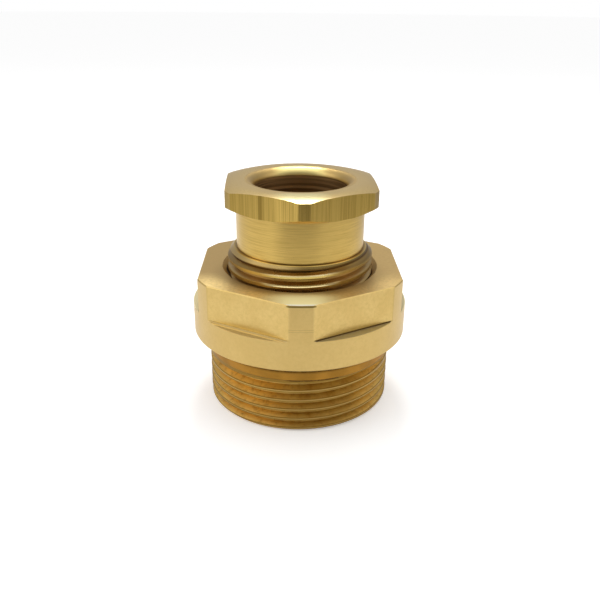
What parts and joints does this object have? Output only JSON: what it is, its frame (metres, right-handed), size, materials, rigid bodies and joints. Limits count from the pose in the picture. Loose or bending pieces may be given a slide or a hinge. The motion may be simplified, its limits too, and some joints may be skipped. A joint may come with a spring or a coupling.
{
  "type": "cable gland",
  "caption": "Brass packing gland for a cable: hexagonal gland nut screwed into a collared body with a male entry thread, rubber packing ring inside.",
  "frame": {"origin": "centre of the entry thread's end face, on the gland's axis", "axes": "+Z along the gland's axis from the entry thread to the gland nut; a corner of the body's hexagon faces -Y and a flat faces +X"},
  "size_m": [0.0486, 0.0486, 0.0508],
  "materials": {
    "body_brass": "turned and milled, satin",
    "nut_brass": "drawn hexagon bar, turned barrel, bright",
    "washer_brass": "stamped, satin",
    "packing_rubber": "moulded, matt"
  },
  "bodies": {
    "gland_body": {"gland_body": "body_brass", "lower_washer": "washer_brass", "packing_ring": "packing_rubber"},
    "upper_washer": {"upper_washer": "washer_brass"},
    "gland_nut": {"gland_nut": "nut_brass"}
  },
  "joints": [
    {"name": "nut_travel", "type": "slide", "parent": "gland_body", "child": "upper_washer", "axis": [0, 0, 1], "range_m": [-0.0035, 0.0104], "deforming": ["packing_ring"]},
    {"name": "nut_turn", "type": "hinge", "parent": "upper_washer", "child": "gland_nut", "pos_m": [0, 0, 0.0192], "axis": [0, 0, 1], "range_deg": [-540, 1620]}
  ],
  "couplings": [
    {"joint": "nut_travel", "follows": "nut_turn", "m_per_rad": 0.00036749}
  ]
}
